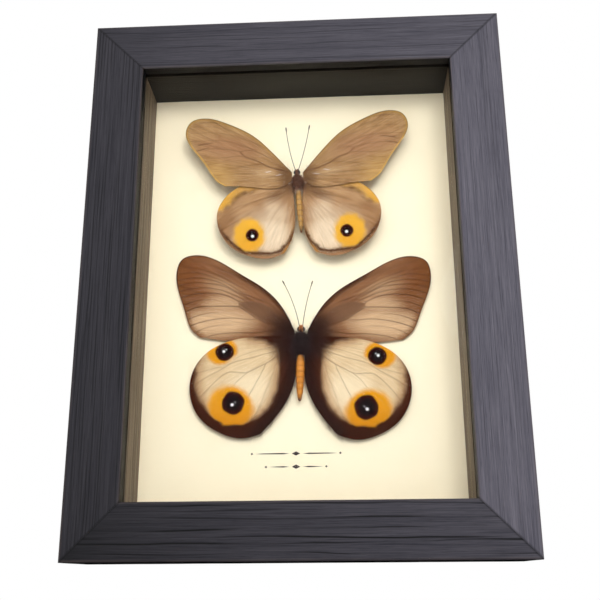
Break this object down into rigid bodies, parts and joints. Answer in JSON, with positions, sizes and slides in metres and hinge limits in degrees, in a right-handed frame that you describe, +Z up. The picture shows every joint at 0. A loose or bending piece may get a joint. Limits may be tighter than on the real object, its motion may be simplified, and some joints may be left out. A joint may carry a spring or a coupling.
{
  "type": "butterfly display case",
  "caption": "Deep mitred wooden shadow box with a glass front, holding two spread butterflies on cream paper, with a back panel held by turn buttons.",
  "frame": {"origin": "middle of the footprint on the surface the case stands on", "axes": "+X across the width, +Z up the height, and the glass front faces -Y"},
  "size_m": [0.152, 0.037, 0.197],
  "materials": {
    "charcoal_wood": "charcoal paint over open wood grain, low sheen",
    "lining_wood": "dark stained strip, matt",
    "clear_glass": "clear polished sheet",
    "cream_paper": "matt aged cream",
    "mount_board": "white foam board",
    "hardboard": "smooth pressed board",
    "zinc_steel": "zinc plated",
    "brassed_steel": "thin brass plating, rubbed",
    "pin_steel": "blued wire",
    "felt": "pressed felt",
    "insect_wing": "scaled wing membrane",
    "insect_body": "furred"
  },
  "bodies": {
    "case": {"top_rail": "charcoal_wood", "bottom_rail": "charcoal_wood", "left_rail": "charcoal_wood", "right_rail": "charcoal_wood", "corner_v_nails": "zinc_steel", "glass_pane": "clear_glass", "spacer_top": "lining_wood", "spacer_bottom": "lining_wood", "spacer_left": "lining_wood", "spacer_right": "lining_wood", "backing_paper": "cream_paper", "mount_board": "mount_board", "back_panel": "hardboard", "turn_button_screws": "zinc_steel", "sawtooth_hanger": "brassed_steel", "hanger_nails": "brassed_steel", "wall_bumper_left": "felt", "wall_bumper_right": "felt", "upper_thorax": "insect_body", "upper_head": "insect_body", "upper_abdomen": "insect_body", "upper_left_antenna": "insect_body", "upper_left_forewing": "insect_wing", "upper_left_hindwing": "insect_wing", "upper_right_antenna": "insect_body", "upper_right_forewing": "insect_wing", "upper_right_hindwing": "insect_wing", "upper_pin": "pin_steel", "lower_thorax": "insect_body", "lower_head": "insect_body", "lower_abdomen": "insect_body", "lower_left_antenna": "insect_body", "lower_left_forewing": "insect_wing", "lower_left_hindwing": "insect_wing", "lower_right_antenna": "insect_body", "lower_right_forewing": "insect_wing", "lower_right_hindwing": "insect_wing", "lower_pin": "pin_steel"},
    "turn_button_upper_left": {"turn_button_upper_left": "zinc_steel"},
    "turn_button_upper_right": {"turn_button_upper_right": "zinc_steel"},
    "turn_button_lower_left": {"turn_button_lower_left": "zinc_steel"},
    "turn_button_lower_right": {"turn_button_lower_right": "zinc_steel"}
  },
  "joints": [
    {"name": "turn_button_upper_left_turn", "type": "hinge", "parent": "case", "child": "turn_button_upper_left", "pos_m": [-0.0672, 0.0161, 0.1445], "axis": [0, 1, 0], "continuous": true},
    {"name": "turn_button_upper_right_turn", "type": "hinge", "parent": "case", "child": "turn_button_upper_right", "pos_m": [0.0672, 0.0161, 0.1445], "axis": [0, 1, 0], "continuous": true},
    {"name": "turn_button_lower_left_turn", "type": "hinge", "parent": "case", "child": "turn_button_lower_left", "pos_m": [-0.0672, 0.0161, 0.0525], "axis": [0, 1, 0], "continuous": true},
    {"name": "turn_button_lower_right_turn", "type": "hinge", "parent": "case", "child": "turn_button_lower_right", "pos_m": [0.0672, 0.0161, 0.0525], "axis": [0, 1, 0], "continuous": true}
  ]
}
